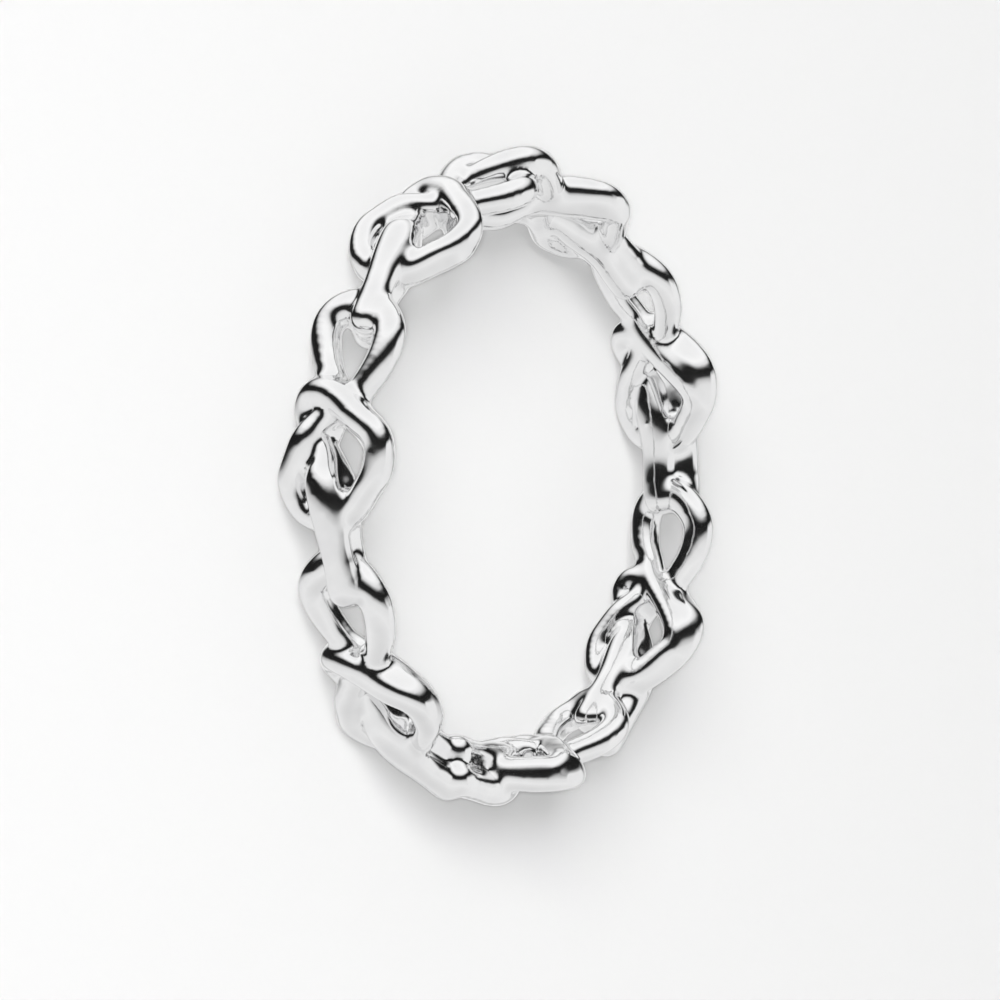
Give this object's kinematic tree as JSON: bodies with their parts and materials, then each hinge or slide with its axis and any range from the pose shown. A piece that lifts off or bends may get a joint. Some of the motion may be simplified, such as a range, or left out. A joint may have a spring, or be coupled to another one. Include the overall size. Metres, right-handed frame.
{
  "type": "knot ring",
  "caption": "Finger ring whose band is a chain of heart-shaped knots in doubled silver wire, each tail hooked into the next eye.",
  "frame": {"origin": "middle of the band's box, on the plane that the back rim rests on", "axes": "+Z along the finger hole, toward the front rim; +Y toward the place where two eyes are linked, apart from a small turn"},
  "size_m": [0.0206, 0.0211, 0.0042],
  "materials": {
    "polished_silver": "cast silver polished to a mirror, with fine wear lines on the outside"
  },
  "bodies": {
    "root": {"knot_ring": "polished_silver"}
  },
  "joints": []
}
